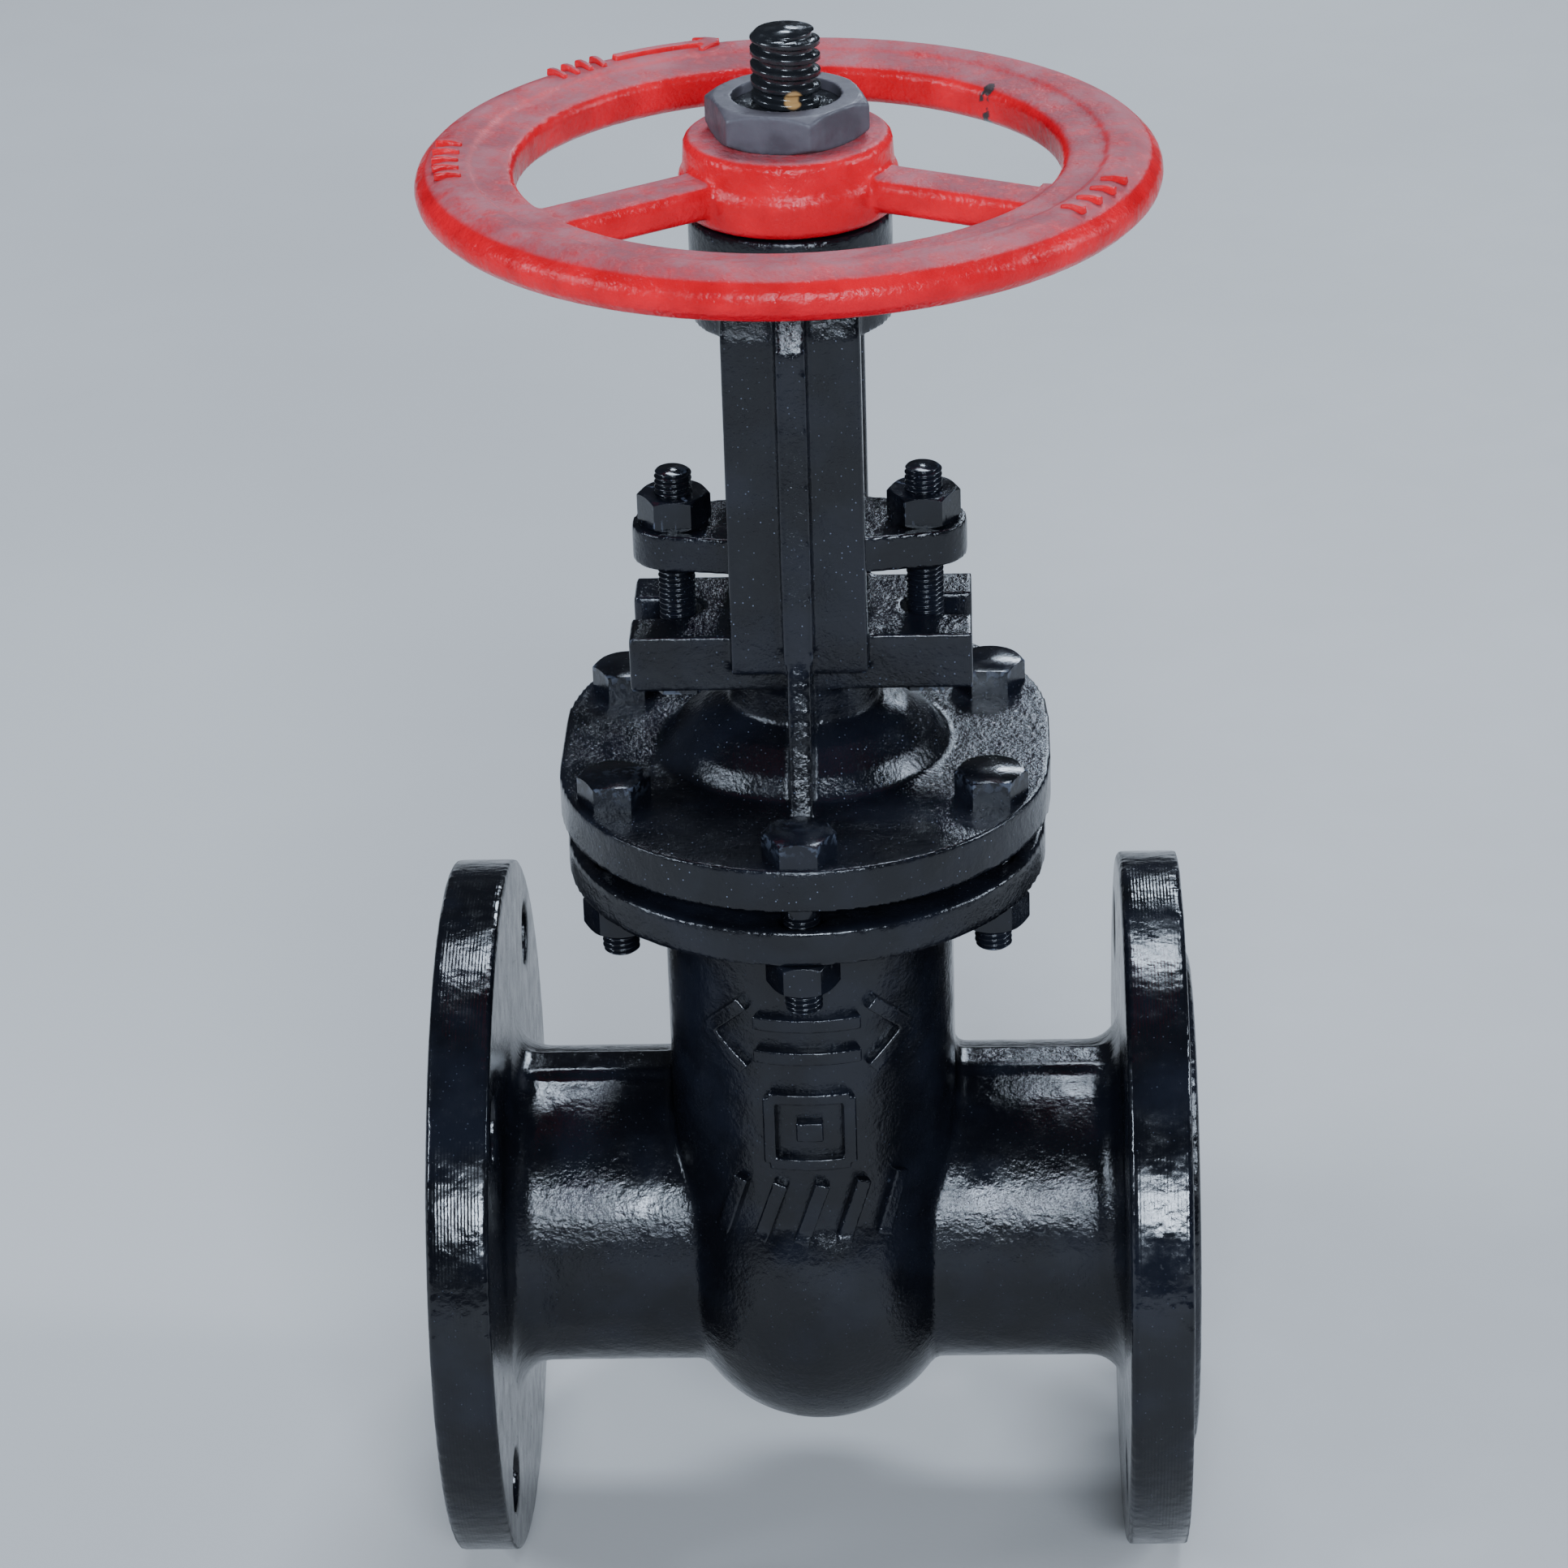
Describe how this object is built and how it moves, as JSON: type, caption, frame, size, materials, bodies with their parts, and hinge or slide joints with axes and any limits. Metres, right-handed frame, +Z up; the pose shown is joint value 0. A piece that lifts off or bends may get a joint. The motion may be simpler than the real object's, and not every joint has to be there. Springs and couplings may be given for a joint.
{
  "type": "gate valve",
  "caption": "Flanged wedge gate valve with an outside screw and yoke; the handwheel lifts the stem and wedge clear of the straight bore.",
  "frame": {"origin": "centre of the inlet flange's raised face, on the pipe axis", "axes": "+X from the inlet to the outlet along the pipe axis; +Z up along the stem towards the handwheel; +Y completes the frame, towards the back"},
  "size_m": [0.21, 0.195, 0.4425],
  "materials": {
    "body": "gloss black paint over sand-cast iron",
    "bonnet": "gloss black paint over sand-cast iron",
    "gland_flange": "gloss black paint",
    "gland_bush": "machined, dark",
    "seat_ring": "machined",
    "wedge": "as cast",
    "stem": "turned steel, black paint on the thread",
    "gasket": "matte",
    "bronze": "machined",
    "packing": "graphite braid",
    "painted_fastener": "gloss black paint",
    "stem_nut": "machined, painted over at the top",
    "key_steel": "ground",
    "washer_steel": "dark",
    "handwheel": "red paint over cast iron",
    "fixing_nut": "black oxide, matte"
  },
  "bodies": {
    "valve": {"body": "body", "bonnet": "bonnet", "inlet_seat_ring": "seat_ring", "outlet_seat_ring": "seat_ring", "bonnet_gasket": "gasket", "backseat_bush": "bronze", "packing_washer": "bronze", "packing_rings": "packing", "bonnet_bolts": "painted_fastener", "bonnet_nuts": "painted_fastener", "gland_bolts": "painted_fastener"},
    "handwheel_drive": {"handwheel": "handwheel", "handwheel_nut": "fixing_nut", "handwheel_key": "key_steel", "stem_nut": "stem_nut", "thrust_washer": "washer_steel"},
    "stem_and_wedge": {"stem": "stem", "wedge_gate": "wedge", "wedge_inlet_ring": "seat_ring", "wedge_outlet_ring": "seat_ring"},
    "gland": {"gland_flange": "gland_flange", "gland_bush": "gland_bush"},
    "inlet_gland_nut": {"inlet_gland_nut": "painted_fastener"},
    "outlet_gland_nut": {"outlet_gland_nut": "painted_fastener"}
  },
  "joints": [
    {"name": "handwheel_turn", "type": "hinge", "parent": "valve", "child": "handwheel_drive", "pos_m": [0.105, 0, 0.307], "axis": [0, 0, 1], "range_deg": [0, 7560]},
    {"name": "stem_rise", "type": "slide", "parent": "valve", "child": "stem_and_wedge", "axis": [0, 0, 1], "range_m": [0, 0.084]},
    {"name": "inlet_nut_turn", "type": "hinge", "parent": "gland", "child": "inlet_gland_nut", "pos_m": [0.07185, 0, 0.214], "axis": [0, 0, 1], "range_deg": [-1200.01, 960.01]},
    {"name": "outlet_nut_turn", "type": "hinge", "parent": "gland", "child": "outlet_gland_nut", "pos_m": [0.13815, 0, 0.214], "axis": [0, 0, 1], "range_deg": [-1200.01, 960.01]},
    {"name": "gland_slide", "type": "slide", "parent": "valve", "child": "gland", "axis": [0, 0, 1], "range_m": [-0.005, 0.004], "deforming": ["packing_rings"]}
  ],
  "couplings": [
    {"joint": "stem_rise", "follows": "handwheel_turn", "m_per_rad": 0.00063662},
    {"joint": "inlet_nut_turn", "follows": "gland_slide", "rad_per_m": 4188.8},
    {"joint": "outlet_nut_turn", "follows": "gland_slide", "rad_per_m": 4188.8}
  ]
}
